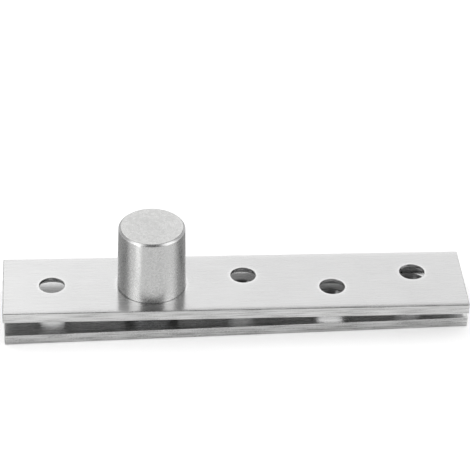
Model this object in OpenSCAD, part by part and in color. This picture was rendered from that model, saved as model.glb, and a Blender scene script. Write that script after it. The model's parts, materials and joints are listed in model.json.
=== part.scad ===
// Concealed pivot hinge in stainless steel. Two flat leaves lie one over the
// other and turn about a closed barrel, with a small thrust ball bearing in the
// gap between them. Millimetres, +Z up. The origin is where the pivot axis
// meets the upper leaf's outer face, and the upper leaf lies along X.

/* [Leaves] */
// Length of each leaf
leaf_l = 100; // [96:1:130]
// Width of each leaf
leaf_w = 20; // [19:0.5:26]
// Thickness of each leaf
leaf_t = 2.5; // [2.3:0.1:3.5]
// Air gap between the two leaves
leaf_gap = 2.5; // [2.2:0.1:3.2]
// Distance from the pivot axis to the leaves' short end
pivot_inset = 32; // [28:0.5:34]
// Chamfer along the leaves' edges
leaf_break = 0.25; // [0.1:0.05:0.4]
// Angle in degrees by which the lower leaf is turned at rest
rest_turn = 1.8; // [0:0.1:10]

/* [Screw holes] */
// Diameter of each screw hole
screw_d = 5.5; // [4.5:0.1:5.8]
// Diameter of each countersink at the leaf's inner face
sink_d = 9.2; // [8:0.1:9.6]
// Full angle of each countersink in degrees
sink_angle = 90; // [82:1:100]
// Distance from the leaf's short end to its hole
short_end_margin = 10.5; // [7:0.5:14]
// Distance from the leaf's long end to its last hole
long_end_margin = 11; // [7:0.5:16]
// Distance between the last two holes of the long side
last_pitch = 18; // [12:0.5:24]
// Distance from the pivot axis to the long side's first hole
near_hole = 20; // [16:0.5:26]
// Distance of the long side's holes from the leaf's centre line
stagger = 2.4; // [0:0.1:3.5]

/* [Barrel] */
// Outer diameter of the barrel
barrel_d = 14.5; // [13.6:0.1:15]
// Height of the barrel above the upper leaf
barrel_h = 15; // [13.5:0.5:25]
// Chamfer round the barrel's top
barrel_break = 0.4; // [0.1:0.1:1]
// Thickness of the barrel's closed end
crown_t = 2.5; // [1:0.1:3.5]
// How much wider the barrel is where it is pressed into the leaf
land_step = 0.2; // [0.2:0.05:0.4]
// Chamfer round the leaf's hole for the barrel
seam_break = 0.15; // [0.05:0.05:0.4]
// Width of the flange round the barrel's foot
flange_w = 1.1; // [0.5:0.1:1.4]
// Thickness of the flange
flange_t = 1; // [0.6:0.1:1.5]

/* [Shaft] */
// Diameter of the pivot shaft
shaft_d = 6; // [5.6:0.1:6.4]
// Diameter of the shaft's tenon in the lower leaf
tenon_d = 5; // [4:0.1:5.4]
// Diameter of the peened foot at the lower leaf's outer face
foot_d = 6.6; // [6:0.1:7]
// Length of the shaft above its retaining ring
tip_l = 1.2; // [0.8:0.1:2.5]
// Chamfer on the shaft's tip
tip_break = 0.4; // [0.1:0.1:0.7]

/* [Bush and retaining ring] */
// Wall of the bronze bush
bush_wall = 1.5; // [1:0.1:1.8]
// Length of the bush
bush_l = 10; // [7:0.5:11]
// Thickness of the retaining ring
ring_t = 0.7; // [0.4:0.1:1]
// Width of the retaining ring's section
ring_w = 1; // [0.7:0.05:1.3]
// Depth of the shaft's groove for the retaining ring
ring_groove = 0.3; // [0.2:0.05:0.5]
// Opening of the retaining ring in degrees
ring_opening = 70; // [40:5:110]

/* [Thrust bearing] */
// Outer diameter of the races
race_d = 12; // [11.4:0.1:12.6]
// Depth of the seat that holds each race
race_seat = 1; // [0.7:0.1:1.3]
// Diameter of the balls
ball_d = 2; // [1.6:0.1:2.2]
// Number of balls
ball_count = 9; // [6:1:10]
// Depth of the ball track in each race
track_depth = 0.2; // [0.1:0.05:0.3]
// Thickness of the ball cage
cage_t = 0.8; // [0.5:0.1:1.2]
// Metal left in the cage inside and outside each ball
cage_web = 0.3; // [0.2:0.05:0.35]

/* [Fits] */
// Radial clearance where a piece runs on another
run_gap = 0.03; // [0.01:0.01:0.08]
// Radial clearance where a piece is pressed or seated in another
seat_gap = 0.01; // [0.01:0.01:0.03]
// Radial clearance of the upper race round the shaft
race_float = 0.1; // [0.05:0.01:0.2]
// End float between the bush and the retaining ring
end_float = 0.1; // [0.05:0.01:0.3]

/* [Hidden] */
$fn = 96;
past = 1;                            // how far a cut runs past the face it opens

upper_in = -leaf_t;                  // upper leaf's inner face
lower_in = upper_in - leaf_gap;      // lower leaf's inner face
lower_out = lower_in - leaf_t;       // lower leaf's outer face
mid_z = (upper_in + lower_in) / 2;   // plane of the ball centres

back_hole = short_end_margin - pivot_inset;
far_hole = leaf_l - pivot_inset - long_end_margin;
// Screw holes in a leaf, as [x, y] from the pivot axis
hole_xy = [
    [back_hole, 0],
    [near_hole, stagger],
    [far_hole - last_pitch, -stagger],
    [far_hole, stagger],
];
sink_depth = (sink_d - screw_d) / 2 / tan(sink_angle / 2);

shaft_r = shaft_d / 2;
race_r = race_d / 2;
race_pocket_r = race_r + seat_gap;
race_top = upper_in + race_seat;     // floor of the upper race's seat
race_foot = lower_in - race_seat;    // floor of the lower race's seat
ball_r = ball_d / 2;
track_r = ball_r + run_gap;
pitch_r = (shaft_r + race_r) / 2;    // circle that the balls run on
race_face = ball_r - track_depth;    // from the balls' plane to each race
race_t = race_top - mid_z - race_face;
pocket_r = ball_r + run_gap;

barrel_r = barrel_d / 2;
land_r = barrel_r + land_step;
flange_r = land_r + flange_w;
flange_top = upper_in + flange_t;

bush_in_r = shaft_r + run_gap;
bush_out_r = shaft_r + bush_wall;
bush_top = race_top + bush_l;
ring_foot = bush_top + end_float;
groove_r = shaft_r - ring_groove;
shaft_top = ring_foot + ring_t + tip_l;
foot_depth = (foot_d - tenon_d) / 2; // the peened foot is a 90 degree cone

ball_names = [for (i = [1 : ball_count]) str("ball_", i)];

steel = [0.80, 0.80, 0.81];
turned_steel = [0.74, 0.74, 0.75];
bearing_steel = [0.62, 0.63, 0.65];
bronze = [0.72, 0.52, 0.28];
cage_steel = [0.52, 0.52, 0.54];

// A vertical cylinder between two heights
module rod(r, z0, z1) {
    translate([0, 0, z0]) cylinder(r = r, h = z1 - z0);
}

// A vertical cone between two heights
module taper(r0, r1, z0, z1) {
    translate([0, 0, z0]) cylinder(r1 = r0, r2 = r1, h = z1 - z0);
}

// A flat washer
module washer(r_in, r_out, z0, z1) {
    difference() {
        rod(r_out, z0, z1);
        rod(r_in, z0 - past, z1 + past);
    }
}

// A rectangle with its four corners cut off
module cut_rect(x, y, c) {
    polygon([
        [c, 0], [x - c, 0], [x, c], [x, y - c],
        [x - c, y], [c, y], [0, y - c], [0, c],
    ]);
}

// A box with all twelve edges chamfered
module broken_box(x, y, z, c) {
    intersection() {
        linear_extrude(z) cut_rect(x, y, c);
        translate([0, y, 0]) rotate([90, 0, 0]) linear_extrude(y) cut_rect(x, z, c);
        rotate([90, 0, 90]) linear_extrude(x) cut_rect(y, z, c);
    }
}

// A screw hole with its countersink opening downwards at z = 0
module screw_hole(depth) {
    rod(screw_d / 2, -past, depth + past);
    rotate([180, 0, 0]) rod(sink_d / 2, 0, past);
    taper(sink_d / 2, screw_d / 2, 0, sink_depth);
}

// One drilled leaf, with its inner face at z = 0 and its outer face above it
module leaf() {
    difference() {
        translate([-pivot_inset, -leaf_w / 2, 0]) broken_box(leaf_l, leaf_w, leaf_t, leaf_break);
        for (p = hole_xy) translate([p.x, p.y, 0]) screw_hole(leaf_t);
    }
}

// Puts a leaf's own parts at the lower leaf's place
module at_lower_leaf() {
    rotate([0, 0, rest_turn]) translate([0, 0, lower_in]) mirror([0, 0, 1]) children();
}

// Upper leaf, with a stepped hole for the barrel's press land and flange
module upper_plate() {
    hole_r = land_r + seat_gap;
    color(steel) difference() {
        translate([0, 0, upper_in]) leaf();
        rod(hole_r, upper_in - past, past);
        rod(flange_r + seat_gap, upper_in - past, flange_top);
        taper(hole_r, hole_r + seam_break, -seam_break, 0);
    }
}

// Lower leaf, with a seat for its race and a countersunk hole for the tenon
module lower_plate() {
    color(steel) difference() {
        at_lower_leaf() leaf();
        rod(race_pocket_r, race_foot, lower_in + past);
        rod(tenon_d / 2 + seat_gap, lower_out - past, race_foot + past);
        taper(foot_d / 2 + seat_gap, tenon_d / 2 + seat_gap, lower_out, lower_out + foot_depth);
    }
}

// Barrel: a turned cup, closed at the top and pressed in from below
module barrel() {
    color(turned_steel) difference() {
        union() {
            rod(barrel_r, upper_in, barrel_h - barrel_break);
            taper(barrel_r, barrel_r - barrel_break, barrel_h - barrel_break, barrel_h);
            rod(land_r, upper_in, 0);
            rod(flange_r, upper_in, flange_top);
        }
        rod(race_pocket_r, upper_in - past, race_top);
        rod(bush_out_r + seat_gap, upper_in - past, barrel_h - crown_t);
    }
}

// Bronze bush in the barrel, standing on the upper race
module bush() {
    color(bronze) washer(bush_in_r, bush_out_r, race_top, bush_top);
}

// A race lying on z = 0, with its ball track on top
module race(bore_r) {
    difference() {
        washer(bore_r, race_r, 0, race_t);
        translate([0, 0, race_t + race_face]) rotate_extrude() translate([pitch_r, 0]) circle(r = track_r);
    }
}

module lower_race() {
    color(bearing_steel) translate([0, 0, race_foot]) race(shaft_r + seat_gap);
}

module upper_race() {
    color(bearing_steel) translate([0, 0, race_top]) mirror([0, 0, 1]) race(shaft_r + race_float);
}

// Flat steel cage with a round pocket for each ball
module ball_cage() {
    color(cage_steel) difference() {
        translate([0, 0, mid_z])
            washer(pitch_r - pocket_r - cage_web, pitch_r + pocket_r + cage_web, -cage_t / 2, cage_t / 2);
        for (i = [1 : ball_count])
            rotate([0, 0, 360 / ball_count * (i - 1)])
                translate([pitch_r, 0, 0])
                    rod(pocket_r, mid_z - cage_t, mid_z + cage_t);
    }
}

module ball(i) {
    color(bearing_steel) rotate([0, 0, 360 / ball_count * (i - 1)])
        translate([pitch_r, 0, mid_z]) sphere(r = ball_r);
}

// Pivot shaft: peened foot, tenon, shank and a groove for the retaining ring
module pivot_shaft() {
    color(turned_steel) difference() {
        union() {
            taper(foot_d / 2, tenon_d / 2, lower_out, lower_out + foot_depth);
            rod(tenon_d / 2, lower_out, race_foot);
            rod(shaft_r, race_foot, shaft_top - tip_break);
            taper(shaft_r, shaft_r - tip_break, shaft_top - tip_break, shaft_top);
        }
        washer(groove_r, shaft_r + past, ring_foot - run_gap, ring_foot + ring_t + run_gap);
    }
}

// Open ring that holds the shaft above the bush
module retaining_ring() {
    reach = ring_w + shaft_d;
    half = ring_opening / 2;
    color(bearing_steel) difference() {
        washer(groove_r + seat_gap, groove_r + ring_w, ring_foot, ring_foot + ring_t);
        translate([0, 0, ring_foot - past]) linear_extrude(ring_t + 2 * past)
            polygon([
                [0, 0],
                [reach, -reach * tan(half)],
                [reach, reach * tan(half)],
            ]);
    }
}

upper_plate();
barrel();
bush();
upper_race();
ball_cage();
for (i = [1 : ball_count]) ball(i);
lower_race();
pivot_shaft();
retaining_ring();
lower_plate();
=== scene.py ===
"""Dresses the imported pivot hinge: two brushed leaves, a turned barrel and a thrust ball bearing.

Lengths are in metres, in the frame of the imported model: the pivot axis is Z, the upper leaf's outer
face lies at z = 0, and the leaves run along X. Every new piece is a surface worked out on a grid.
"""

import json
import math

import bpy
import numpy as np
from mathutils import Matrix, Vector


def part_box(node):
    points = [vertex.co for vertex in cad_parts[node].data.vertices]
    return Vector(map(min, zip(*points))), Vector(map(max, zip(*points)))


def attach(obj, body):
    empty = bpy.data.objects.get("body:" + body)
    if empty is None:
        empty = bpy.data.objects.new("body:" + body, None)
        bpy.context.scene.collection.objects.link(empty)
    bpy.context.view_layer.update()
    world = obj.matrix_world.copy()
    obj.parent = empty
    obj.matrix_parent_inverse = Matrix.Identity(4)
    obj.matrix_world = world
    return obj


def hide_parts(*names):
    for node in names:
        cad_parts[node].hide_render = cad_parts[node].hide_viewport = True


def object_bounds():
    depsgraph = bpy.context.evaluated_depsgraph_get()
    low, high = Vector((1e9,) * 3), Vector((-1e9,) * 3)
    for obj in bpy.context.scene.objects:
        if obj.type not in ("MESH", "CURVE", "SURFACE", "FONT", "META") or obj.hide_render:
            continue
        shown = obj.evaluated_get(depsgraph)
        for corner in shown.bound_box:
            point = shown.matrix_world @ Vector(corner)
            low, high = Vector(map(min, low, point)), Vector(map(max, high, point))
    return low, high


bl_info = {
    "name": "Pivot Hinge",
    "version": (1, 0, 0),
    "blender": (4, 5, 0),
    "location": "View3D > Sidebar > Pivot Hinge",
    "description": "Builds a concealed pivot hinge's leaves, barrel and bearing, and a studio round it",
    "category": "Add Mesh",
}

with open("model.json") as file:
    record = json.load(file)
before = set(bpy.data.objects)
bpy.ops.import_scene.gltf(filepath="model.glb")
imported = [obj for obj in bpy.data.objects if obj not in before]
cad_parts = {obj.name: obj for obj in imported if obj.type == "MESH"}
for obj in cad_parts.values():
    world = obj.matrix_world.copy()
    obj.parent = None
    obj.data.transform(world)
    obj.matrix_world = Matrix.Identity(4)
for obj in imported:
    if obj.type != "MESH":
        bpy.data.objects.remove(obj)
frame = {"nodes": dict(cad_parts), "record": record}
CAD_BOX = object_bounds()
MM = 0.001
MOUNTS = {m["name"]: m for m in frame["record"]["mounts"]}
BALLS = sorted(n for n in frame["nodes"] if n.startswith("ball_") and n != "ball_cage")
HOLE_NAMES = ("back", "near", "mid", "far")
GRAIN = "Grain"
WEAR = "wear"
SAME_POINT = 1e-7  # points closer than this are joined
NO_EDGE = [(9, 9)]  # a corner too far off to show wear

# Numbers of the leaves' and the barrel's materials
OUTER, RIM, DRILLED, INNER = range(4)
SIDE, END, BEVEL = range(3)

# A leaf's grid: steps along each side of a hole's cell, and the rings' shares of the way to the hole
CELL_STEPS = 44
STEPS = np.linspace(0, 1, CELL_STEPS, endpoint=False)
RING_SHARES = np.array([0, 0.006, 0.03, 0.06, 0.1, 0.16, 0.3, 0.55, 0.8, 0.93, 0.985, 1])[:, None]
CORNER_FAN = np.linspace(0, math.pi / 2, 7)
FALL_SHARE = 0.14  # share of a leaf's half width over which its faces fall away
FACE_WEAR, HOLE_WEAR, RIM_WEAR = 0.25 * MM, 0.12 * MM, 0.3 * MM  # how far wear reaches from the edges


# -------- surfaces


def softened(corners, cuts, steps=6):
    """A polyline with its corners rounded.

    Each corner p has unit directions u and v to its neighbours. It becomes the parabola
    p + cut * ((1 - s)^2 * u + s^2 * v), with s from 0 to 1. A cut of 0 keeps the corner.
    A point half a cut beyond each end of the curve keeps the flats beside it flat.
    """
    corners, out = np.asarray(corners, float), []
    s = np.linspace(0, 1, steps + 1)[:, None]
    for i, (p, cut) in enumerate(zip(corners, cuts)):
        if cut <= 0:
            out.append(p[None])
            continue
        back, ahead = corners[i - 1] - p, corners[(i + 1) % len(corners)] - p
        u, v = back / np.linalg.norm(back), ahead / np.linalg.norm(ahead)
        spare = min(np.linalg.norm(back), np.linalg.norm(ahead))
        curve = p + cut * ((1 - s) ** 2 * u + s**2 * v)
        if spare > 3 * cut:
            curve = np.vstack([p + 1.5 * cut * u, curve, p + 1.5 * cut * v])
        out.append(curve)
    points = np.vstack(out)
    apart = np.linalg.norm(np.diff(points, axis=0), axis=1) > SAME_POINT / 10
    return points[np.r_[True, apart]]


def reach(points, corners):
    """Distance from each point of a profile to the nearest of its unrounded corners."""
    gaps = np.asarray(points)[:, None, :] - np.asarray(corners, float)[None, :, :]
    return np.linalg.norm(gaps, axis=2).min(axis=1)


def travelled(points):
    """Distance along a polyline at each of its points."""
    return np.r_[0, np.cumsum(np.linalg.norm(np.diff(points, axis=0), axis=1))]


def sheet_patch(points, grain, wear, swap=False, finish=0):
    """One grid of points as (points, quads' corner numbers, quads' grain coordinates, wear, finish).

    points is (rows, columns, 3). A quad runs along its row and then to the next row, so the face
    looks to the side of (along the row) x (to the next row). swap turns it round. finish is the
    number of its material.
    """
    rows, cols = points.shape[:2]
    number = np.arange(rows * cols).reshape(rows, cols)
    ring = [number[:-1, :-1], number[:-1, 1:], number[1:, 1:], number[1:, :-1]]
    if swap:
        ring.reverse()
    quads = np.stack(ring, axis=-1).reshape(-1, 4)
    spread = np.broadcast_to(wear, (rows, cols)).ravel()
    return points.reshape(-1, 3), quads, grain.reshape(-1, 2)[quads], spread, np.full(len(quads), finish)


def mesh_from(name, patches, sharp=38.0):
    """Joins patches into one mesh, smooth but for edges that turn by more than sharp degrees.

    Points at the same place are one point. A quad that has lost a corner by that is a triangle
    at a pole, and one that has lost two is dropped.
    """
    starts = np.cumsum([0] + [len(p[0]) for p in patches[:-1]])
    points, grain = (np.vstack([p[k] for p in patches]) for k in (0, 2))
    wear, finish = (np.concatenate([p[k] for p in patches]) for k in (3, 4))
    quads = np.vstack([p[1] + s for p, s in zip(patches, starts)])
    # the offset keeps round values away from where rounding tips over
    keys = np.round(points / SAME_POINT + 0.137).astype(np.int64)
    _, first, number = np.unique(keys, axis=0, return_index=True, return_inverse=True)
    quads = number.reshape(-1)[quads]
    kept = quads != np.roll(quads, -1, axis=1)
    kept &= kept.sum(axis=1, keepdims=True) > 2
    total = kept.sum(axis=1)
    finish = finish[total > 0].astype(np.int32)
    total = total[total > 0]

    mesh = bpy.data.meshes.new(name)
    mesh.vertices.add(len(first))
    mesh.vertices.foreach_set("co", points[first].ravel())
    mesh.loops.add(int(total.sum()))
    mesh.loops.foreach_set("vertex_index", quads[kept])
    mesh.polygons.add(len(total))
    mesh.polygons.foreach_set("loop_start", np.cumsum(total) - total)
    mesh.polygons.foreach_set("material_index", finish)
    mesh.update(calc_edges=True)
    mesh.uv_layers.new(name=GRAIN).data.foreach_set("uv", grain[kept].ravel())
    mesh.attributes.new(WEAR, "FLOAT", "POINT").data.foreach_set("value", wear[first])
    mesh.shade_smooth()
    mesh.set_sharp_from_angle(angle=math.radians(sharp))
    if mesh.validate():
        raise RuntimeError(f"{name}: the surface had broken faces")
    piece = bpy.data.objects.new(name, mesh)
    bpy.context.scene.collection.objects.link(piece)
    return piece


def turned_patch(profile, corners, centre=(0, 0, 0), sides=160, wear_reach=0.2 * MM, finish=0):
    """A profile of (radius, height) points carried round the Z axis.

    Point (row i, column j) is (r_i cos a_j, r_i sin a_j, z_i) + centre. The profile runs outwards
    over the top, down the outside and back, so that faces look outwards. The grain's first
    coordinate runs round the axis and its second along the profile.
    """
    a = np.linspace(0, 2 * math.pi, sides + 1)
    r, z = profile[:, 0][:, None], profile[:, 1][:, None]
    points = np.stack([r * np.cos(a), r * np.sin(a), z + 0 * a], axis=-1)
    points[:, -1] = points[:, 0]
    along = travelled(profile)[:, None]
    grain = np.stack([profile[:, 0].max() * a + 0 * along, along + 0 * a], axis=-1)
    wear = np.exp(-reach(profile, corners) / wear_reach)[:, None]
    return sheet_patch(points + np.asarray(centre, float), grain, wear, swap=True, finish=finish)


def cell_border(xa, xb, w):
    """Points round the cell from xa to xb and from -w to w, ending where they start at (xa, -w)."""
    low, high = np.full(CELL_STEPS, -w), np.full(CELL_STEPS, w)
    across = np.linspace(-w, w, CELL_STEPS + 1)
    to_right, to_left = xa + (xb - xa) * STEPS, xb + (xa - xb) * STEPS
    x = np.concatenate([to_right, np.full(CELL_STEPS, xb), to_left, np.full(CELL_STEPS, xa)])
    y = np.concatenate([low, across[:-1], high, across[:0:-1]])
    return np.r_[x, x[0]], np.r_[y, y[0]]


def face_rings(hole, border, aim, radius, half):
    """Rings between the cell's border P and the hole's rim C, as (1 - f) P + f C for rising f.

    aim is the direction from the hole's centre, which P and C share. Gives x, y and the wear,
    which is high by the leaf's side and by the rim.
    """
    rim_x, rim_y = hole["x"] + radius * aim[0], hole["y"] + radius * aim[1]
    x = (1 - RING_SHARES) * border[0] + RING_SHARES * rim_x
    y = (1 - RING_SHARES) * border[1] + RING_SHARES * rim_y
    to_rim = (1 - RING_SHARES) * np.hypot(rim_x - border[0], rim_y - border[1])
    return x, y, np.exp(-np.minimum(half - np.abs(y), to_rim) / FACE_WEAR)


def leaf_rim(cuts, half, thick, s, fall):
    """A leaf's rim: a rounded profile of (outwards, height) points carried round its border.

    Point (row i, column j) is the border's point j moved out by out_i in the direction that the
    side faces. At a corner the point stays and the direction fans round through a right angle.
    """
    w = half - s.edge
    across = np.linspace(-w, w, CELL_STEPS + 1)
    long = np.concatenate([*(a + (b - a) * STEPS for a, b in zip(cuts, cuts[1:])), [cuts[-1]]])
    sides = [
        (long, np.full_like(long, -w), -math.pi / 2),
        (np.full_like(across, cuts[-1]), across, 0.0),
        (long[::-1], np.full_like(long, w), math.pi / 2),
        (np.full_like(across, cuts[0]), across[::-1], math.pi),
    ]
    turns = CORNER_FAN[1:]
    px = np.concatenate([np.r_[x, np.full_like(turns, x[-1])] for x, _, _ in sides])
    py = np.concatenate([np.r_[y, np.full_like(turns, y[-1])] for _, y, _ in sides])
    heading = np.concatenate([np.r_[np.full_like(x, a), a + turns] for x, _, a in sides])
    # end where the first side starts, so the last corner's fan closes the loop
    px, py, heading = np.r_[px, px[0]], np.r_[py, py[0]], np.r_[heading, heading[0]]
    corners = [(0, 0), (s.edge, 0), (s.edge, -thick), (0, -thick)]
    profile = softened(corners, [0, s.edge, s.inner_edge, 0])
    out, z = profile[:, 0][:, None], profile[:, 1][:, None]
    x, y = px + out * np.cos(heading), py + out * np.sin(heading)
    by_outer, by_inner = (np.clip(1 - np.abs(z - face) / (thick / 2), 0, 1) for face in (0, -thick))
    points = np.stack([x, y, z - (fall(py) * by_outer - fall(py) * by_inner)], axis=-1)
    edge = np.stack([px + s.edge * np.cos(heading), py + s.edge * np.sin(heading)], axis=-1)
    grain = np.stack([travelled(edge) + 0 * z, travelled(profile)[:, None] + 0 * px], axis=-1)
    wear = np.exp(-reach(profile, corners[1:3]) / RIM_WEAR)[:, None]
    return sheet_patch(points, grain, wear, swap=True, finish=RIM)


def leaf_patches(x0, x1, half, thick, s, holes):
    """The whole skin of a drilled leaf, with its outer face at z = 0 and its inner face at -thick.

    The leaf is cut across into one cell for each hole. In a cell, rings run from its border to
    the hole's rim, go on down the hole's profile and back out over the inner face. The leaf's
    rim closes it. Both faces fall away by sag * ((|y| - start) / (half - start))^3 beside the
    long edges.
    """
    holes = sorted(holes, key=lambda h: h["x"])
    middles = [(a["x"] + b["x"]) / 2 for a, b in zip(holes, holes[1:])]
    cuts = [x0 + s.edge, *middles, x1 - s.edge]
    start = half - FALL_SHARE * half

    def fall(y):
        return s.sag * np.clip((np.abs(y) - start) / (half - start), 0, 1) ** 3

    patches = []
    for hole, xa, xb in zip(holes, cuts, cuts[1:]):
        border = cell_border(xa, xb, half - s.edge)
        turn = np.unwrap(np.arctan2(border[1] - hole["y"], border[0] - hole["x"]))
        aim = np.cos(turn), np.sin(turn)
        profile = hole["profile"]
        x, y, wear = face_rings(hole, border, aim, profile[0, 0], half)
        top = np.stack([x, y, -fall(y)], axis=-1)
        patches.append(sheet_patch(top, top[:, :, :2], wear, finish=OUTER))
        x, y, wear = (rings[::-1] for rings in face_rings(hole, border, aim, profile[-1, 0], half))
        low = np.stack([x, y, -thick + fall(y)], axis=-1)
        patches.append(sheet_patch(low, low[:, :, :2], wear, finish=INNER))
        r, z = profile[:, 0][:, None], profile[:, 1][:, None]
        wall = np.stack([hole["x"] + r * aim[0], hole["y"] + r * aim[1], z + 0 * turn], axis=-1)
        along = travelled(profile)[:, None]
        grain = np.stack([profile[0, 0] * turn + 0 * along, along + 0 * turn], axis=-1)
        wear = np.exp(-reach(profile, hole["corners"]) / HOLE_WEAR)[:, None]
        patches.append(sheet_patch(wall, grain, wear, finish=DRILLED))
    patches.append(leaf_rim(cuts, half, thick, s, fall))
    return patches


def placed(patches, drop, turn):
    """A leaf's patches turned upside down, with the outer face at height drop, and turned about Z."""
    c, s = math.cos(turn), math.sin(turn)
    spun = []
    for points, quads, grain, wear, finish in patches:
        x, y, z = points.T
        moved = np.stack([c * x - s * y, s * x + c * y, drop - z], axis=-1)
        spun.append((moved, quads[:, ::-1], grain[:, ::-1], wear, finish))
    return spun


# -------- finishes


CLOUD = 12 * MM  # size of the slow clouds in a metal
SPECK_SHARE, CLOUD_SHARE = 0.45, 0.35  # in a metal's grain, against 1 for its streaks
GRAIN_LOW, GRAIN_HIGH = 0.55, 1.25  # where nearly all of that grain lies
RELIEF_SPECKS = 0.6  # the specks' share in the relief, against 1 for the streaks
WORN_SMOOTHER = 0.25  # share of its roughness that a worn edge loses
BLOTCH_SIZE = 2.2  # in specks
BLOTCH_LOW, BLOTCH_HIGH = 0.36, 0.64  # where a blotch's noise makes it smoothest and roughest


def add(tree, kind, inputs=None, **settings):
    """One node with its settings, and its inputs set to values or linked to sockets."""
    node = tree.nodes.new(kind)
    for key, value in settings.items():
        setattr(node, key, value)
    for key, value in (inputs or {}).items():
        socket = node.inputs[key]
        if isinstance(value, bpy.types.NodeSocket):
            tree.links.new(value, socket)
        else:
            socket.default_value = value
    return node


def emptied(owner):
    """The node tree of a new material or world, with nothing in it."""
    owner.use_nodes = True
    owner.node_tree.nodes.clear()
    return owner.node_tree


def calc(tree, operation, *values):
    """The output of one Math node."""
    return add(tree, "ShaderNodeMath", dict(enumerate(values)), operation=operation).outputs[0]


def sum_of(tree, first, second, factor):
    """first + factor * second."""
    return calc(tree, "MULTIPLY_ADD", second, factor, first)


def ramp(tree, value, start, end, first=0.0, last=1.0, shape="LINEAR"):
    """Goes from first to last while value goes from start to end, and holds beyond."""
    span = {0: value, 1: start, 2: end, 3: first, 4: last}
    return add(tree, "ShaderNodeMapRange", span, interpolation_type=shape).outputs[0]


def blend(tree, part, first, second):
    """first where part is 0 and second where it is 1."""
    return add(tree, "ShaderNodeMix", {0: part, 2: first, 3: second}, data_type="FLOAT").outputs[0]


def scaled(tree, tint, level):
    """A fixed colour times a level."""
    return add(tree, "ShaderNodeVectorMath", {0: tuple(tint), "Scale": level}, operation="SCALE").outputs[0]


def place_on(tree):
    """Object coordinates."""
    return add(tree, "ShaderNodeTexCoord").outputs["Object"]


def pattern(tree, vector, size, detail=3.0):
    """A soft noise between 0 and 1. size is one grain in metres, all ways or along each axis."""
    sizes = size if isinstance(size, tuple) else (size, size, size)
    stretch = {"Vector": vector, "Scale": tuple(1 / v for v in sizes)}
    mapped = add(tree, "ShaderNodeMapping", stretch, vector_type="POINT").outputs[0]
    noise = add(tree, "ShaderNodeTexNoise", {"Vector": mapped, "Scale": 1.0, "Detail": detail})
    return noise.outputs["Fac"]


def metal(
    name, tint, roughness, streak, fleck, shade=0.04, scatter=0.05, depth=2e-6, anisotropy=0.0, worn=0.03,
    dimple=0.7 * MM, dimple_depth=0.0, blotch=0.0,
):
    """A metal whose colour, roughness and relief follow its grain.

    streak is the size of a streak along and across the grain, and fleck the size of a speck.
    Colour and roughness move by shade and scatter with the grain, and edges are a little
    brighter and smoother where wear is near 1. depth is the relief's height, and dimple the
    size of the slow waves under it. blotch moves the roughness up and down in small patches.
    """
    material = bpy.data.materials.new(name)
    tree = emptied(material)
    grain = add(tree, "ShaderNodeUVMap", uv_map=GRAIN).outputs["UV"]
    place = place_on(tree)
    wear = add(tree, "ShaderNodeAttribute", attribute_name=WEAR).outputs["Fac"]
    lines = pattern(tree, grain, (*streak, 1), 4.0)
    specks = pattern(tree, place, fleck)
    clouds = pattern(tree, place, CLOUD, 2.0)
    mixed = sum_of(tree, sum_of(tree, lines, specks, SPECK_SHARE), clouds, CLOUD_SHARE)

    def following(middle, swing):
        """A value that swings about middle with the grain."""
        return ramp(tree, mixed, GRAIN_LOW, GRAIN_HIGH, middle - swing, middle + swing)

    level = sum_of(tree, following(1, shade), wear, worn)
    rough = sum_of(tree, following(roughness, scatter), wear, -WORN_SMOOTHER * roughness)
    if blotch:
        spots = pattern(tree, place, BLOTCH_SIZE * fleck, 2.0)
        rough = calc(tree, "ADD", rough, ramp(tree, spots, BLOTCH_LOW, BLOTCH_HIGH, -blotch, blotch))
    relief = sum_of(tree, lines, specks, RELIEF_SPECKS)
    bump = add(tree, "ShaderNodeBump", {"Height": relief, "Distance": depth, "Strength": 1.0}).outputs[0]
    if dimple_depth:
        waves = {"Height": pattern(tree, place, dimple, 1.0), "Distance": dimple_depth, "Strength": 1.0}
        bump = add(tree, "ShaderNodeBump", {**waves, "Normal": bump}).outputs[0]
    look = {"Base Color": scaled(tree, tint, level), "Metallic": 1.0, "Roughness": rough, "Normal": bump}
    if anisotropy:
        # a quarter turn lays the highlight across the grain
        tangent = add(tree, "ShaderNodeTangent", direction_type="UV_MAP", uv_map=GRAIN).outputs[0]
        look |= {"Anisotropic": anisotropy, "Anisotropic Rotation": 0.25, "Tangent": tangent}
    shader = add(tree, "ShaderNodeBsdfPrincipled", look)
    add(tree, "ShaderNodeOutputMaterial", {"Surface": shader.outputs[0]})
    return material


def carried(node, material):
    """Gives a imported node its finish."""
    materials = frame["nodes"][node].data.materials
    materials.clear()
    materials.append(material)


def leaf_finishes(s):
    """The leaves' outer faces, rims, holes and inner faces, in the order of their numbers."""
    return (
        metal(
            "brushed_stainless", s.color, s.roughness, (s.streak_length, s.streak_width), 0.12 * MM,
            shade=s.streak_contrast, scatter=0.04, depth=s.streak_depth, anisotropy=s.anisotropy,
        ),
        metal(
            "sawn_stainless", s.rim_color, s.rim_roughness, (7 * MM, 0.34 * MM), 0.2 * MM,
            shade=0.55, scatter=0.16, depth=7e-6, anisotropy=0.6,
        ),
        # the holes' darker colour paints shade inside them
        metal(
            "drilled_stainless", s.hole_shade_color, 0.25, (6 * MM, 0.28 * MM), 0.2 * MM,
            shade=0.5, scatter=0.12, depth=6e-6, anisotropy=0.5,
        ),
        metal(
            "inner_stainless", s.inner_color, s.inner_roughness, (s.streak_length, 1.5 * s.streak_width),
            0.12 * MM, shade=1.5 * s.streak_contrast, scatter=0.06, depth=s.streak_depth, anisotropy=0.85,
        ),
    )


# -------- settings


def length(name, description, default, low=0.0, high=0.2):
    """A length in metres."""
    return bpy.props.FloatProperty(
        name=name, description=description, default=default, min=low, max=high, unit="LENGTH", precision=5
    )


def share(name, description, default, high=1.0):
    """A plain number, from 0 up."""
    return bpy.props.FloatProperty(
        name=name, description=description, default=default, min=0, max=high, precision=3, subtype="FACTOR"
    )


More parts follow.
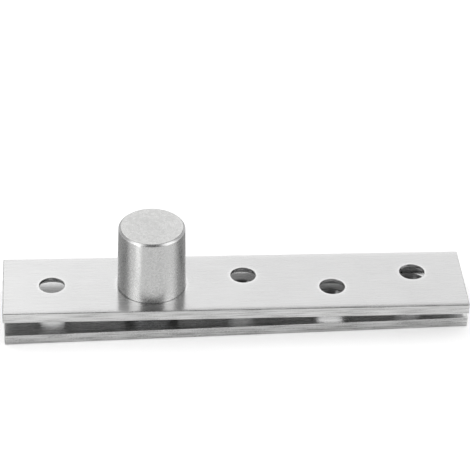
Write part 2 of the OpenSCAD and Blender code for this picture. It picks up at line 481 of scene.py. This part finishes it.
def color(name, description, default):
    """A linear colour."""
    return bpy.props.FloatVectorProperty(
        name=name, description=description, default=default, size=3, min=0, max=1, subtype="COLOR"
    )


def angle(name, description, default):
    """An angle, given in degrees and kept in radians."""
    return bpy.props.FloatProperty(
        name=name, description=description, default=math.radians(default), min=-math.pi, max=math.pi,
        unit="ROTATION",
    )


class LeafSettings(bpy.types.PropertyGroup):
    """Sizes and finish of the two leaves."""

    edge: length("Edge", "Rounding along the leaves' outer edges and at their corners", 0.2 * MM)
    inner_edge: length("Inner edge", "Rounding along the leaves' edges at the gap", 0.06 * MM)
    sag: length("Fall", "How far the faces fall away beside the long edges", 0.14 * MM)
    rim: length("Rim", "Rounding round the holes' outer rims", 0.05 * MM)
    sink_radius: length("Countersink", "Radius of each countersink at the inner face", 4.6 * MM)
    color: color("Steel", "Colour of the stainless steel", (0.775, 0.775, 0.775))
    inner_color: color("Inner steel", "Colour of the faces inside the gap", (0.78, 0.78, 0.78))
    rim_color: color("Rim", "Colour of the sawn edges", (0.72, 0.72, 0.715))
    # darker than the faces: painted shade inside the holes
    hole_shade_color: color("Holes", "Colour inside the screw holes", (0.58, 0.58, 0.58))
    roughness: share("Roughness", "Roughness of the brushed faces", 0.28)
    inner_roughness: share("Inner roughness", "Roughness of the faces inside the gap", 0.27)
    rim_roughness: share("Rim roughness", "Roughness of the sawn edges", 0.36)
    anisotropy: share("Spread", "How much highlights spread across the brushing", 0.9)
    streak_length: length("Streak length", "Length of a brushed streak", 9 * MM)
    streak_width: length("Streak width", "Width of a brushed streak", 0.09 * MM)
    streak_depth: length("Streak depth", "Depth of a brushed streak", 1.2e-6)
    streak_contrast: share("Streak contrast", "How much the streaks differ in colour", 0.2)


class BarrelSettings(bpy.types.PropertyGroup):
    """Sizes and finish of the barrel."""

    top_edge: length("Top edge", "Bevel round the top", 0.42 * MM)
    draft: length("Draft", "How far the foot's radius is above the middle's, and the top's below", 0.13 * MM)
    seat_gap: length("Seat gap", "Gap round pressed and seated pieces", 0.01 * MM)
    seam_gap: length("Seam", "Gap between the barrel's foot and the leaf", 0.06 * MM)
    flange: length("Flange", "Thickness of the flange inside the leaf", 1.0 * MM)
    bore_radius: length("Bore", "Radius of the bore for the bush", 4.51 * MM)
    crown: length("Closed end", "Thickness of the closed end", 2.5 * MM)
    color: color("Steel", "Colour of the turned steel", (0.72, 0.72, 0.715))
    # darker than the side's steel: painted shade on the end
    end_color: color("End", "Colour of the faced end", (0.575, 0.575, 0.57))
    # near white, brighter than the steel: a painted highlight along the top's rim
    bevel_highlight_color: color("Bevel", "Colour of the bevel round the top", (0.97, 0.97, 0.97))
    roughness: share("Roughness", "Roughness of the turned side", 0.34)
    end_roughness: share("End roughness", "Roughness of the faced end", 0.36)
    bevel_roughness: share("Bevel roughness", "Roughness of the bevel round the top", 0.38)
    anisotropy: share("Spread", "How much highlights spread across the turning", 0.8)


class BearingSettings(bpy.types.PropertyGroup):
    """Sizes and finishes of the shaft, races, balls, cage, bush and ring."""

    ball_radius: length("Ball", "Radius of each ball", 1.0 * MM)
    track: length("Track", "Depth of the ball track", 0.2 * MM)
    shaft_radius: length("Shaft", "Radius of the shaft", 3.0 * MM)
    tenon_radius: length("Tenon", "Radius of the shaft's tenon", 2.5 * MM)
    foot_radius: length("Foot", "Radius of the peened foot", 3.3 * MM)
    foot_height: length("Foot height", "Height of the peened foot", 0.8 * MM)
    run_gap: length("Running gap", "Gap round the balls and shaft", 0.03 * MM)
    race_float: length("Race float", "Gap between the upper race and the shaft", 0.1 * MM)
    race_color: color("Race steel", "Colour of the races", (0.60, 0.61, 0.63))
    ball_color: color("Ball steel", "Colour of the balls", (0.68, 0.69, 0.70))
    shaft_color: color("Shaft steel", "Colour of the shaft", (0.66, 0.66, 0.67))
    ring_color: color("Spring steel", "Colour of the retaining ring", (0.35, 0.36, 0.38))
    cage_color: color("Cage steel", "Colour of the cage", (0.42, 0.42, 0.43))
    bush_color: color("Bronze", "Colour of the bush", (0.60, 0.42, 0.24))


class StudioSettings(bpy.types.PropertyGroup):
    """Floor, light and camera."""

    floor_color: color("Floor", "Colour of the floor", (0.90, 0.90, 0.90))
    floor_lift: share("Floor lift", "White added to the floor where the camera looks at it", 0.45, high=2.0)
    floor_gloss: share("Floor in metal", "Light of the open floor as the metal sees it", 0.76, high=2.0)
    pool: share("Pool", "Light that the metal sees in the pool on the floor's left", 0.55, high=4.0)
    sky: share("Sky", "Light from the white surround on the floor", 0.72, high=4.0)
    strip_start: length("Dark strip", "Where the strip behind the gap starts", 12 * MM, low=-0.1)
    strip_light: share("Strip light", "Light of the strip at its near end, from which it fades", 0.3)
    lamp: bpy.props.FloatProperty(
        name="Lamp", description="Power of the overhead lamp", default=0.6, min=0, unit="POWER"
    )
    turn: angle("Turn", "Camera's turn about the hinge", 4.945)
    height: angle("Height", "Camera's angle above the floor", 34.996)
    roll: angle("Roll", "Camera's roll", -1.799)
    distance: length("Distance", "Distance from the camera to its aim", 511.116 * MM, high=5.0)
    aim: bpy.props.FloatVectorProperty(
        name="Aim", description="Point that the camera looks at", subtype="XYZ", unit="LENGTH",
        default=(18.178 * MM, 4.770 * MM, 9.027 * MM),
    )
    lens: bpy.props.FloatProperty(
        name="Lens", description="Focal length on a 36 mm sensor", default=181.14, unit="CAMERA"
    )


# -------- pieces


def hole_at(centre, corners, cuts):
    """A hole from its centre and the corners of its profile, outer face first.

    The first and last corners only lead in from the faces, so edges wear at the others.
    """
    return {"x": centre[0], "y": centre[1], "profile": softened(corners, cuts), "corners": corners[1:-1]}


def screw_hole(centre, dims, thick, s):
    """A countersunk screw hole: rounded rim, straight land, cone and rim at the inner face."""
    r, land = dims["r_mm"] * MM, dims["length_mm"] * MM
    sink = s.sink_radius
    corners = [(r + 3 * s.rim, 0), (r, 0), (r, -land), (sink, -thick), (sink + 0.2 * MM, -thick)]
    return hole_at(centre, corners, [0, min(s.rim, land / 4), 0.04 * MM, 0.12 * MM, 0])


class HINGE_OT_leaves(bpy.types.Operator):
    """Builds the two drilled and countersunk leaves"""

    bl_idname = "hinge.leaves"
    bl_label = "Leaves"
    bl_options = {"REGISTER", "UNDO"}

    lead_in = 0.3 * MM  # how far a hole's profile starts out on the faces

    def execute(self, context):
        s, b, g = context.scene.hinge_leaf, context.scene.hinge_barrel, context.scene.hinge_bearing
        low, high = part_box("upper_plate")
        half, thick = (high[1] - low[1]) / 2, high[2] - low[2]
        steels = leaf_finishes(s)

        holes = self.holes("door_screw_", self.barrel_hole(b, thick), thick, s)
        piece = mesh_from("leaf_upper", leaf_patches(low[0], high[0], half, thick, s, holes))
        self.finish(piece, steels, "upper_plate", "upper_leaf")

        far, first = MOUNTS["frame_screw_far"]["pos_m"], MOUNTS["door_screw_far"]["pos_m"]
        turn = math.atan2(far[1], far[0]) - math.atan2(first[1], first[0])
        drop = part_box("lower_plate")[0][2]
        holes = self.holes("frame_screw_", self.shaft_hole(b, g, thick, drop), thick, s)
        skin = leaf_patches(low[0], high[0], half, thick, s, holes)
        piece = mesh_from("leaf_lower", placed(skin, drop, turn))
        self.finish(piece, steels, "lower_plate", "lower_leaf")
        return {"FINISHED"}

    def finish(self, piece, steels, node, body):
        """Finishes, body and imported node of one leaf."""
        for steel in steels:
            piece.data.materials.append(steel)
        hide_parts(node)
        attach(piece, body)

    def holes(self, kind, middle, thick, s):
        """The hole about the pivot and the screw holes, which lie alike in both leaves."""
        screws = (
            screw_hole(MOUNTS["door_screw_" + name]["pos_m"], MOUNTS[kind + name]["dims"], thick, s)
            for name in HOLE_NAMES
        )
        return [middle, *screws]

    def barrel_hole(self, b, thick):
        """The upper leaf's stepped hole: the barrel's press land, then its flange."""
        land = MOUNTS["barrel"]["dims"]["r_mm"] * MM + b.seam_gap
        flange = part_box("barrel")[1][0] + b.seat_gap
        step = b.flange - thick
        corners = [
            (land + self.lead_in, 0), (land, 0), (land, step), (flange, step),
            (flange, -thick), (flange + self.lead_in, -thick),
        ]
        return hole_at((0.0, 0.0), corners, [0, 0.03 * MM, 0, 0, 0.05 * MM, 0])

    def shaft_hole(self, b, g, thick, drop):
        """The lower leaf's stepped hole: a cone for the peened foot, the tenon, then the race's seat."""
        foot, tenon = g.foot_radius + b.seat_gap, g.tenon_radius + b.seat_gap
        low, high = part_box("lower_race")
        race, depth = high[0] + b.seat_gap, low[2] - drop
        corners = [
            (foot + self.lead_in, 0), (foot, 0), (tenon, -g.foot_height), (tenon, -depth),
            (race, -depth), (race, -thick), (race + self.lead_in, -thick),
        ]
        return hole_at((0.0, 0.0), corners, [0, 0.03 * MM, 0, 0.03 * MM, 0, 0.06 * MM, 0])


class HINGE_OT_barrel(bpy.types.Operator):
    """Turns the closed barrel, with its press land and the flange inside the leaf"""

    bl_idname = "hinge.barrel"
    bl_label = "Barrel"
    bl_options = {"REGISTER", "UNDO"}

    def execute(self, context):
        s = context.scene.hinge_barrel
        (_, _, foot_z), (flange_r, _, top_z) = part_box("barrel")
        race_r, _, race_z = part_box("upper_race")[1]
        race_r += s.seat_gap
        r = MOUNTS["barrel"]["dims"]["r_mm"] * MM
        top_r, foot_r = r - s.draft, r + s.draft
        bevel_z, flange_z, crown_z = top_z - s.top_edge, foot_z + s.flange, top_z - s.crown
        # each corner and how much of it is rounded off
        outline = (
            ((0, top_z), 0),
            ((top_r - s.top_edge, top_z), 0.12 * MM),
            ((top_r, bevel_z), 0.14 * MM),
            ((foot_r, s.seam_gap), 0.04 * MM),
            ((r, s.seam_gap), 0),
            ((r, flange_z), 0),
            ((flange_r, flange_z), 0.1 * MM),
            ((flange_r, foot_z), 0.08 * MM),
            ((race_r, foot_z), 0.08 * MM),
            ((race_r, race_z), 0),
            ((s.bore_radius, race_z), 0.1 * MM),
            ((s.bore_radius, crown_z), 0.3 * MM),
            ((0, crown_z), 0),
        )
        corners, cuts = zip(*outline)
        profile = softened(corners, cuts, 8)
        depth = top_z - profile[:, 1]
        bevel, side = (int(np.argmax(depth > start)) for start in (0.1 * s.top_edge, s.top_edge))
        spread = {"corners": corners[1:-1], "sides": 192, "wear_reach": 0.2 * MM}
        patches = [
            turned_patch(profile[: bevel + 1], finish=END, **spread),
            turned_patch(profile[bevel : side + 1], finish=BEVEL, **spread),
            turned_patch(profile[side:], finish=SIDE, **spread),
        ]
        piece = mesh_from("barrel_turned", patches)
        for steel in self.finishes(s):
            piece.data.materials.append(steel)
        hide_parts("barrel")
        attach(piece, "upper_leaf")
        return {"FINISHED"}

    def finishes(self, s):
        """The turned side, the faced end and the bevel, whose near-white colour is a painted highlight, in
        the order of their numbers.
        """
        return (
            metal(
                "turned_stainless", s.color, s.roughness, (14 * MM, 0.05 * MM), 0.22 * MM,
                shade=0.06, scatter=0.04, depth=2.5e-6, anisotropy=s.anisotropy,
                dimple=0.6 * MM, dimple_depth=4e-6, blotch=0.07,
            ),
            # the end's darker colour paints shade on it
            metal(
                "faced_stainless", s.end_color, s.end_roughness, (3 * MM, 0.12 * MM), 0.28 * MM,
                shade=0.26, scatter=0.1, depth=4e-6, dimple=1.0 * MM, dimple_depth=1.8e-5, blotch=0.06,
            ),
            # the bevel's near-white colour paints a highlight along the top's rim
            metal(
                "bevel_highlight_stainless", s.bevel_highlight_color, s.bevel_roughness, (3 * MM, 0.12 * MM), 0.2 * MM,
                shade=0.1, scatter=0.08, depth=2e-6, dimple=0.6 * MM, dimple_depth=4e-6,
            ),
        )


class HINGE_OT_bearing(bpy.types.Operator):
    """Builds the races and balls of the thrust bearing, and finishes the cage"""

    bl_idname = "hinge.bearing"
    bl_label = "Thrust bearing"
    bl_options = {"REGISTER", "UNDO"}

    def execute(self, context):
        s, b = context.scene.hinge_bearing, context.scene.hinge_barrel
        ground = metal(
            "bearing_steel", s.race_color, 0.22, (6 * MM, 0.04 * MM), 0.15 * MM,
            shade=0.05, scatter=0.05, depth=8e-7, anisotropy=0.5, worn=0.05,
        )
        polished = metal(
            "ball_steel", s.ball_color, 0.08, (1 * MM, 0.3 * MM), 0.2 * MM,
            shade=0.03, scatter=0.03, depth=2e-7,
        )
        pressed = metal(
            "cage_steel", s.cage_color, 0.34, (2 * MM, 0.1 * MM), 0.18 * MM,
            shade=0.07, scatter=0.08, depth=2e-6,
        )
        low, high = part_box("lower_race")
        upper_low, upper_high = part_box("upper_race")
        middle = (high[2] + upper_low[2]) / 2
        for node, body, bore, sign, back in (
            ("lower_race", "lower_leaf", s.shaft_radius + b.seat_gap, 1, low[2]),
            ("upper_race", "upper_leaf", s.shaft_radius + s.race_float, -1, upper_high[2]),
        ):
            points, quads, grain, *rest = self.race(bore, high[0], abs(middle - back), s)
            points[:, 2] = back + sign * points[:, 2]
            if sign < 0:
                quads, grain = quads[:, ::-1], grain[:, ::-1]
            piece = mesh_from(node + "_ground", [(points, quads, grain, *rest)])
            piece.data.materials.append(ground)
            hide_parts(node)
            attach(piece, body)
        fall = np.linspace(0, math.pi, 33)
        arc = s.ball_radius * np.stack([np.sin(fall), np.cos(fall)], axis=-1)
        arc[0, 0] = arc[-1, 0] = 0
        for name in BALLS:
            centre = [(a + c) / 2 for a, c in zip(*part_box(name))]
            piece = mesh_from("bearing_" + name, [turned_patch(arc, NO_EDGE, centre, sides=56)], sharp=80)
            piece.data.materials.append(polished)
            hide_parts(name)
            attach(piece, "ball_set")
        carried("ball_cage", pressed)
        return {"FINISHED"}

    def race(self, bore, outer, rise, s):
        """A ring from radius bore to outer, with rounded edges, a ball track and its back at height 0.

        The track is an arc about the balls' centres, which lie rise above the back, midway between
        the shaft and the ring's outside.
        """
        pitch = (s.shaft_radius + outer) / 2
        face = rise - (s.ball_radius - s.track)
        r = s.ball_radius + s.run_gap
        half = math.sqrt(r * r - (rise - face) ** 2)
        swing = math.asin(half / r)
        sweep = np.linspace(-math.pi / 2 - swing, -math.pi / 2 + swing, 17)
        track = np.stack([pitch + r * np.cos(sweep), rise + r * np.sin(sweep)], axis=-1)
        rim = 0.12 * MM
        lips = [(pitch - half, face), (pitch + half, face)]
        ends = [(outer, face), (outer, 0), (bore, 0), (bore, face)]
        first = softened([(bore, 0), (bore, face), lips[0]], [0, rim, 0])[1:-1]
        last = softened([lips[1], *ends], [0, rim, rim, rim, 0])[1:-1]
        # the profile ends where it starts
        profile = np.vstack([first, track, last, first[:1]])
        return turned_patch(profile, ends + lips, sides=144, wear_reach=0.15 * MM)


class HINGE_OT_shaft(bpy.types.Operator):
    """Turns the pivot shaft with its peened foot, and finishes the bush and the retaining ring"""

    bl_idname = "hinge.shaft"
    bl_label = "Shaft, bush and ring"
    bl_options = {"REGISTER", "UNDO"}

    def execute(self, context):
        s = context.scene.hinge_bearing
        low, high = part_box("pivot_shaft")
        ring_low, ring_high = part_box("retaining_ring")
        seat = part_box("lower_race")[0][2]
        r, tenon, foot = s.shaft_radius, s.tenon_radius, s.foot_radius
        groove = r - 0.3 * MM
        groove_top, groove_foot = ring_high[2] + s.run_gap, ring_low[2] - s.run_gap
        dish = low[2] + 0.14 * MM
        # each corner and how much of it is rounded off
        outline = (
            ((0, high[2]), 0),
            ((r, high[2]), 0.4 * MM),
            ((r, groove_top), 0.05 * MM),
            ((groove, groove_top), 0),
            ((groove, groove_foot), 0),
            ((r, groove_foot), 0.05 * MM),
            ((r, seat), 0.05 * MM),
            ((tenon, seat), 0),
            ((tenon, low[2] + s.foot_height), 0),
            ((foot, low[2] + 0.04 * MM), 0.05 * MM),
            ((0.86 * foot, low[2]), 0.25 * MM),
            ((0.5 * foot, dish), 0.4 * MM),
            ((0, dish), 0),
        )
        corners, cuts = zip(*outline)
        piece = mesh_from("shaft_turned", [turned_patch(softened(corners, cuts), corners[1:-1], sides=128)])
        ground = metal(
            "shaft_steel", s.shaft_color, 0.24, (8 * MM, 0.05 * MM), 0.2 * MM,
            shade=0.05, scatter=0.06, depth=1.5e-6, anisotropy=0.6, worn=0.05,
        )
        piece.data.materials.append(ground)
        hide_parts("pivot_shaft")
        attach(piece, "lower_leaf")
        spring = metal("spring_steel", s.ring_color, 0.38, (2 * MM, 0.1 * MM), 0.15 * MM, shade=0.08)
        carried("retaining_ring", spring)
        bronze = metal(
            "bronze", s.bush_color, 0.42, (4 * MM, 0.08 * MM), 0.14 * MM,
            shade=0.09, scatter=0.08, depth=3e-6,
        )
        carried("bush", bronze)
        return {"FINISHED"}


# -------- studio


COVER_REACH = 8 * MM  # how near a leaf darkens the floor and holds the dark strip
FLOOR_RADII = (0, 0.1, 0.4, 1.5)
# close to the leaf the lift falls to LIFT_UNDER of itself, which paints a soft shade there
FIBRE, LIFT_UNDER = (0.99, 1.01), 0.75  # the paper's shading, and its lift's share close to the leaf
FLOOR_UNDER = 0.08  # light of the floor under the leaf, as the metal sees it
# Parts of the floor as the metal sees them: azimuth from and to, and softness, in degrees
POOL, DIM_RIGHT, DIM_LEFT = (-45, -33, 5), (110, 200, 20), (-200, -72, 18)
POOL_EDGE = (-20.5 * MM, -22.5 * MM)  # where along Y the pool starts and is full
DIM_EDGE = (-14 * MM, -10 * MM)  # where along Y the left side starts to dim and is fully dim
DIM = 0.45  # share of the light that a dim side keeps
# The dark strip's reach before and behind the leaf's back edge, its height and its fading
STRIP_FRONT, STRIP_BACK, STRIP_LIFT, STRIP_FADE = 2.2 * MM, 3 * MM, 1 * MM, 24 * MM
STRIP_COVER = (0.99, 0.9)  # open sky at which the strip starts to show and is there in full
# The surround's light from first to last, as the sine of its height goes from start to end
SURROUND = {"start": -0.1, "end": 0.5, "first": 0.6, "last": 1.32}
LAMP_SIZE, LAMP_PLACE = 0.5, (-0.25, 0.35, 0.7)

# Cards round the hinge: range of azimuth to the right of the camera, range of height, softness, light
CARDS = (
    ((140, 173), (10, 60), 7, 1.22),
    ((-180, 180), (56, 95), 10, 0.25),
    ((-78, -40), (30, 70), 8, 1.3),
    ((54, 82), (30, 70), 8, 1.3),
    ((90, 150), (14, 60), 12, 0.3),
    ((-150, -83), (14, 60), 12, 0.24),
    ((-30, 44), (8, 80), 8, 0.2),
    ((-30, 44), (48, 80), 8, 0.02),
    ((-52, -41), (-15, 10), 6, 3.4),
    ((52, 84), (-8, 55), 8, 1.25),
)


def window(tree, value, low, high, soft):
    """1 between the angles low and high, falling smoothly to 0 over soft outside them, in degrees."""
    edges = [math.radians(v) for v in (low - soft, low, high, high + soft)]
    rise = ramp(tree, value, edges[0], edges[1], shape="SMOOTHSTEP")
    fall = ramp(tree, value, edges[3], edges[2], shape="SMOOTHSTEP")
    return calc(tree, "MULTIPLY", rise, fall)


def card(tree, level, azimuth, height, across, up, soft, strength):
    """Turns the light level towards strength inside a soft-edged card.

    across is the card's range of azimuth and up its range of height, in degrees.
    """
    part = calc(tree, "MULTIPLY", window(tree, azimuth, *across, soft), window(tree, height, *up, soft))
    return blend(tree, part, level, strength)


def bearings(tree, vector, turn):
    """Azimuth of a vector to the right of the direction towards the camera, in radians."""
    c, sn = math.cos(turn), math.sin(turn)
    ahead, aside = (
        add(tree, "ShaderNodeVectorMath", {0: vector, 1: axis}, operation="DOT_PRODUCT").outputs["Value"]
        for axis in ((-sn, -c, 0), (c, -sn, 0))
    )
    return calc(tree, "ARCTAN2", aside, ahead)


def along_axis(tree, vector, axis):
    """One coordinate of a vector, by its name."""
    return add(tree, "ShaderNodeSeparateXYZ", {0: vector}).outputs[axis]


def glowing(tree, strength):
    """A surface's own white light."""
    return add(tree, "ShaderNodeEmission", {"Strength": strength}).outputs[0]


class HINGE_OT_studio(bpy.types.Operator):
    """Lays the floor, sets the white surround with its cards, the lamp and the camera"""

    bl_idname = "hinge.studio"
    bl_label = "Floor, light and camera"
    bl_options = {"REGISTER", "UNDO"}

    def execute(self, context):
        s = context.scene.hinge_studio
        self.floor(s)
        self.strip(s)
        self.surround(context, s)
        self.lamp(context, s)
        self.camera(context, s)
        context.scene.view_settings.view_transform = "Standard"
        return {"FINISHED"}

    def floor(self, s):
        """A round floor, with point (i, j) at (r_i cos a_j, r_i sin a_j)."""
        rings = np.array([(radius, CAD_BOX[0][2]) for radius in FLOOR_RADII])
        floor = mesh_from("floor", [turned_patch(rings, NO_EDGE, sides=64)])
        material = bpy.data.materials.new("floor_paper")
        tree = emptied(material)
        place = place_on(tree)
        path = add(tree, "ShaderNodeLightPath").outputs
        open_sky = add(tree, "ShaderNodeAmbientOcclusion", {"Distance": COVER_REACH}, samples=8).outputs["AO"]
        paper = self.paper(tree, place, path["Is Camera Ray"], open_sky, s)
        mirrored = glowing(tree, self.floor_light(tree, place, open_sky, s))
        ground = add(tree, "ShaderNodeMixShader", {0: path["Is Glossy Ray"], 1: paper, 2: mirrored})
        add(tree, "ShaderNodeOutputMaterial", {"Surface": ground.outputs[0]})
        floor.data.materials.append(material)

    def paper(self, tree, place, by_camera, open_sky, s):
        """Pale paper, lifted towards white for the camera, and a little less close to the leaf, which paints
        a soft shade there.
        """
        fibre = pattern(tree, place, 3 * MM, 4.0)
        tint = scaled(tree, s.floor_color, ramp(tree, fibre, 0, 1, *FIBRE))
        look = {"Base Color": tint, "Roughness": 0.9, "Specular IOR Level": 0.2}
        matt = add(tree, "ShaderNodeBsdfPrincipled", look).outputs[0]
        near = ramp(tree, open_sky, 0, 1, LIFT_UNDER * s.floor_lift, s.floor_lift)
        lift = glowing(tree, calc(tree, "MULTIPLY", by_camera, near))
        return add(tree, "ShaderNodeAddShader", {0: matt, 1: lift}).outputs[0]

    def floor_light(self, tree, place, open_sky, s):
        """The floor's light as the metal sees it: dark close to the leaf, dim at the sides, with a pool."""
        azimuth = bearings(tree, place, s.turn)
        depth = along_axis(tree, place, "Y")
        pool = calc(tree, "MULTIPLY", window(tree, azimuth, *POOL), ramp(tree, depth, *POOL_EDGE))
        left = window(tree, azimuth, *DIM_LEFT)
        sides = sum_of(tree, window(tree, azimuth, *DIM_RIGHT), left, ramp(tree, depth, *DIM_EDGE))
        under = ramp(tree, open_sky, 0, 1, FLOOR_UNDER, s.floor_gloss)
        light = calc(tree, "MULTIPLY", under, ramp(tree, sides, 0, 1, 1.0, DIM))
        return sum_of(tree, light, pool, s.pool)

    def strip(self, s):
        """A flat dark strip over the lower leaf's back edge, which only the metal sees: it paints a dark
        reflection in the gap and the holes.

        It glows faintly at its near end, narrows and fades towards its far end, and clears away where no leaf
        lies close over it, so its painted shade shows only under a leaf.
        """
        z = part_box("lower_plate")[1][2] + STRIP_LIFT
        far, back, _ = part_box("upper_plate")[1]
        x, y = np.meshgrid([s.strip_start, far], [back - STRIP_FRONT, back + STRIP_BACK])
        y[0, 1] = back
        points = np.stack([x, y, np.full_like(x, z)], axis=-1)
        strip = mesh_from("dark_strip", [sheet_patch(points, points[:, :, :2], 0.0)])
        material = bpy.data.materials.new("dark_strip")
        tree = emptied(material)
        along = along_axis(tree, place_on(tree), "X")
        glow = glowing(tree, ramp(tree, along, s.strip_start, s.strip_start + STRIP_FADE, s.strip_light, 0.0))
        upward = add(tree, "ShaderNodeCombineXYZ", {"Z": 1.0}).outputs[0]
        look_up = {"Distance": COVER_REACH, "Normal": upward}
        open_sky = add(tree, "ShaderNodeAmbientOcclusion", look_up, samples=16).outputs["AO"]
        covered = ramp(tree, open_sky, *STRIP_COVER)
        clear = add(tree, "ShaderNodeBsdfTransparent").outputs[0]
        surface = add(tree, "ShaderNodeMixShader", {0: covered, 1: clear, 2: glow})
        add(tree, "ShaderNodeOutputMaterial", {"Surface": surface.outputs[0]})
        strip.data.materials.append(material)
        strip.visible_camera = strip.visible_diffuse = False
        strip.visible_shadow = strip.visible_transmission = False

    def surround(self, context, s):
        """White to the camera. The metal sees it rise in light, with dark and bright cards."""
        world = bpy.data.worlds.new("studio")
        context.scene.world = world
        tree = emptied(world)
        path = add(tree, "ShaderNodeLightPath").outputs
        ray = add(tree, "ShaderNodeTexCoord").outputs["Generated"]
        azimuth = bearings(tree, ray, s.turn)
        sine = along_axis(tree, ray, "Z")
        height = calc(tree, "ARCSINE", sine)
        level = ramp(tree, sine, **SURROUND, shape="SMOOTHSTEP")
        for across, up, soft, strength in CARDS:
            level = card(tree, level, azimuth, height, across, up, soft, strength)
        level = blend(tree, path["Is Glossy Ray"], s.sky, level)
        seen = calc(tree, "MAXIMUM", path["Is Camera Ray"], path["Is Transmission Ray"])
        level = blend(tree, seen, level, 1.0)
        light = add(tree, "ShaderNodeBackground", {"Color": (1, 1, 1, 1), "Strength": level})
        add(tree, "ShaderNodeOutputWorld", {"Surface": light.outputs[0]})

    def lamp(self, context, s):
        """A soft square lamp above and behind the hinge, to its left."""
        data = bpy.data.lights.new("overhead", "AREA")
        data.size = LAMP_SIZE
        data.energy = s.lamp
        lamp = bpy.data.objects.new("overhead", data)
        context.scene.collection.objects.link(lamp)
        lamp.location = LAMP_PLACE
        lamp.rotation_euler = (-lamp.location).to_track_quat("-Z", "Y").to_euler()

    def camera(self, context, s):
        """Looks at the aim from the set turn, height, roll and distance."""
        c, sn, ch, sh = math.cos(s.turn), math.sin(s.turn), math.cos(s.height), math.sin(s.height)
        right = np.array([c, -sn, 0])
        up = np.array([sh * sn, sh * c, ch])
        ahead = np.array([ch * sn, ch * c, -sh])
        cr, sr = math.cos(s.roll), math.sin(s.roll)
        across, upward = cr * right - sr * up, sr * right + cr * up
        place = np.eye(4)
        place[:3, :3] = np.stack([across, upward, -ahead], axis=1)
        place[:3, 3] = np.array(s.aim) - s.distance * ahead
        data = bpy.data.cameras.new("camera")
        data.sensor_width = 36
        data.lens = s.lens
        data.clip_start, data.clip_end = 0.01, 10
        camera = bpy.data.objects.new("camera", data)
        context.scene.collection.objects.link(camera)
        camera.matrix_world = Matrix(place.tolist())
        context.scene.camera = camera


class HINGE_PT_panel(bpy.types.Panel):
    """Lists the hinge's operators and settings"""

    bl_idname = "HINGE_PT_panel"
    bl_label = "Pivot Hinge"
    bl_space_type = "VIEW_3D"
    bl_region_type = "UI"
    bl_category = "Pivot Hinge"

    def draw(self, context):
        for name, _, operators in PARTS:
            box = self.layout.box()
            for operator in operators:
                box.operator(operator.bl_idname)
            settings = getattr(context.scene, name)
            for setting in settings.bl_rna.properties.keys():
                if setting not in ("rna_type", "name"):
                    box.prop(settings, setting)


PARTS = (
    ("hinge_leaf", LeafSettings, (HINGE_OT_leaves,)),
    ("hinge_barrel", BarrelSettings, (HINGE_OT_barrel,)),
    ("hinge_bearing", BearingSettings, (HINGE_OT_bearing, HINGE_OT_shaft)),
    ("hinge_studio", StudioSettings, (HINGE_OT_studio,)),
)
CLASSES = (*(cls for _, group, operators in PARTS for cls in (group, *operators)), HINGE_PT_panel)


def register():
    """Registers the classes and hangs the settings on the scene."""
    for cls in CLASSES:
        bpy.utils.register_class(cls)
    for name, group, _ in PARTS:
        setattr(bpy.types.Scene, name, bpy.props.PointerProperty(type=group))


def unregister():
    """Takes the settings and classes away again."""
    for name, _, _ in PARTS:
        delattr(bpy.types.Scene, name)
    for cls in reversed(CLASSES):
        bpy.utils.unregister_class(cls)


def main():
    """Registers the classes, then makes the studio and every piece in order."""
    register()
    bpy.ops.hinge.studio()
    bpy.ops.hinge.leaves()
    bpy.ops.hinge.barrel()
    bpy.ops.hinge.bearing()
    bpy.ops.hinge.shaft()


if __name__ == "__main__":
    main()
